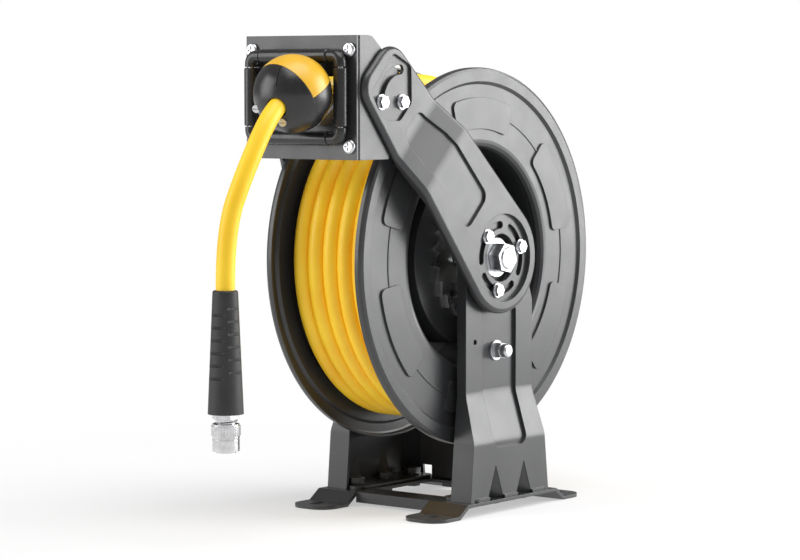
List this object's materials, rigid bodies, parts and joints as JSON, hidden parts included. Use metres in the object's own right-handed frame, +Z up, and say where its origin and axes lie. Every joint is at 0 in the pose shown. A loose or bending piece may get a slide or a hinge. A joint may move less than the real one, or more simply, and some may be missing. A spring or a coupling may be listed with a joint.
{
  "type": "air hose reel",
  "caption": "Spring-rewind air hose reel: hose wound on a drum between two pressed pedestals, twin arms with a roller guide, ball stop and quick coupler.",
  "frame": {"origin": "on the floor, at the centre of the four bolt slots in the base", "axes": "+X from the hose exit towards the back, +Y along the axle towards the air inlet, +Z up"},
  "size_m": [0.4855, 0.1895, 0.4239],
  "materials": {
    "black_steel": "semi-gloss black powder coat",
    "zinc": "bright zinc plate",
    "steel": "turned steel",
    "spring_steel": "oiled spring steel",
    "brass": "machined brass",
    "bronze": "sintered bronze",
    "hose": "smooth yellow hose cover",
    "grip_rubber": "dark moulded rubber",
    "seal_rubber": "black nitrile",
    "black_plastic": "black moulded plastic",
    "yellow_plastic": "yellow moulded plastic",
    "chrome": "bright nickel plate"
  },
  "bodies": {
    "frame": {"base_plate": "black_steel", "pedestal_near": "black_steel", "pedestal_far": "black_steel", "cross_brace": "black_steel", "foot_bolts": "black_steel", "foot_nuts": "black_steel", "axle": "steel", "axle_collars": "zinc", "axle_nut": "zinc", "axle_lock_nut": "zinc", "inlet_fitting": "brass", "hub_bolts_near": "zinc", "hub_bolts_far": "zinc", "spring_arbor": "steel", "pawl_bolt": "zinc", "pawl_spring": "spring_steel"},
    "drum": {"drum_flange_near": "black_steel", "drum_flange_far": "black_steel", "drum_barrel": "black_steel", "drum_web": "black_steel", "web_collar": "black_steel", "spring_case": "black_steel", "case_screws": "zinc", "mainspring": "spring_steel", "ratchet_wheel": "steel", "ratchet_screws": "zinc", "drum_bushes": "bronze", "swivel_body": "brass", "swivel_seals": "seal_rubber", "hose_pack": "hose"},
    "pawl": {"pawl": "steel"},
    "guide_arm": {"arm_near": "black_steel", "arm_far": "black_steel", "hose_run": "hose"},
    "guide": {"guide_bracket": "black_steel", "guide_plate": "black_steel", "guide_screws": "zinc", "guide_bolts": "zinc", "roller_lugs": "black_plastic", "roller_pins": "steel", "ball_cap": "black_plastic", "ball_upper": "yellow_plastic", "ball_lower": "black_plastic", "ball_screws": "zinc", "hose_tail": "hose", "bend_restrictor": "grip_rubber", "coupler_body": "chrome", "coupler_spring": "spring_steel"},
    "top_roller": {"roller_top": "black_plastic"},
    "bottom_roller": {"roller_bottom": "black_plastic"},
    "near_roller": {"roller_near": "black_plastic"},
    "far_roller": {"roller_far": "black_plastic"},
    "sleeve": {"coupler_sleeve": "chrome"},
    "valve": {"coupler_valve": "brass"}
  },
  "joints": [
    {"name": "drum_spin", "type": "hinge", "parent": "frame", "child": "drum", "pos_m": [-0.008, 0, 0.2275], "axis": [0, 1, 0], "continuous": true},
    {"name": "arm_tilt", "type": "hinge", "parent": "frame", "child": "guide_arm", "pos_m": [-0.008, 0, 0.2275], "axis": [0, 1, 0], "range_deg": [-12, 44]},
    {"name": "guide_tilt", "type": "hinge", "parent": "guide_arm", "child": "guide", "pos_m": [-0.1372, 0, 0.3673], "axis": [0, 1, 0], "range_deg": [0, 85]},
    {"name": "pawl_swing", "type": "hinge", "parent": "frame", "child": "pawl", "pos_m": [-0.0025, 0, 0.1436], "axis": [0, 1, 0], "range_deg": [-22, 0], "stiffness_Nm_per_rad": 0.02},
    {"name": "roller_top_spin", "type": "hinge", "parent": "guide", "child": "top_roller", "pos_m": [-0.2003, 0, 0.4065], "axis": [0, 1, 0], "continuous": true},
    {"name": "roller_bottom_spin", "type": "hinge", "parent": "guide", "child": "bottom_roller", "pos_m": [-0.2003, 0, 0.3365], "axis": [0, 1, 0], "continuous": true},
    {"name": "roller_near_spin", "type": "hinge", "parent": "guide", "child": "near_roller", "pos_m": [-0.2003, -0.05, 0.3715], "axis": [0, 0, 1], "continuous": true},
    {"name": "roller_far_spin", "type": "hinge", "parent": "guide", "child": "far_roller", "pos_m": [-0.2003, 0.05, 0.3715], "axis": [0, 0, 1], "continuous": true},
    {"name": "sleeve_slide", "type": "slide", "parent": "guide", "child": "sleeve", "axis": [0, 0, 1], "range_m": [0, 0.0032], "stiffness_N_per_m": 900, "springref_m": -0.002, "deforming": ["coupler_spring"]},
    {"name": "valve_slide", "type": "slide", "parent": "guide", "child": "valve", "axis": [0, 0, 1], "range_m": [0, 0.0032], "stiffness_N_per_m": 500, "springref_m": -0.002}
  ]
}
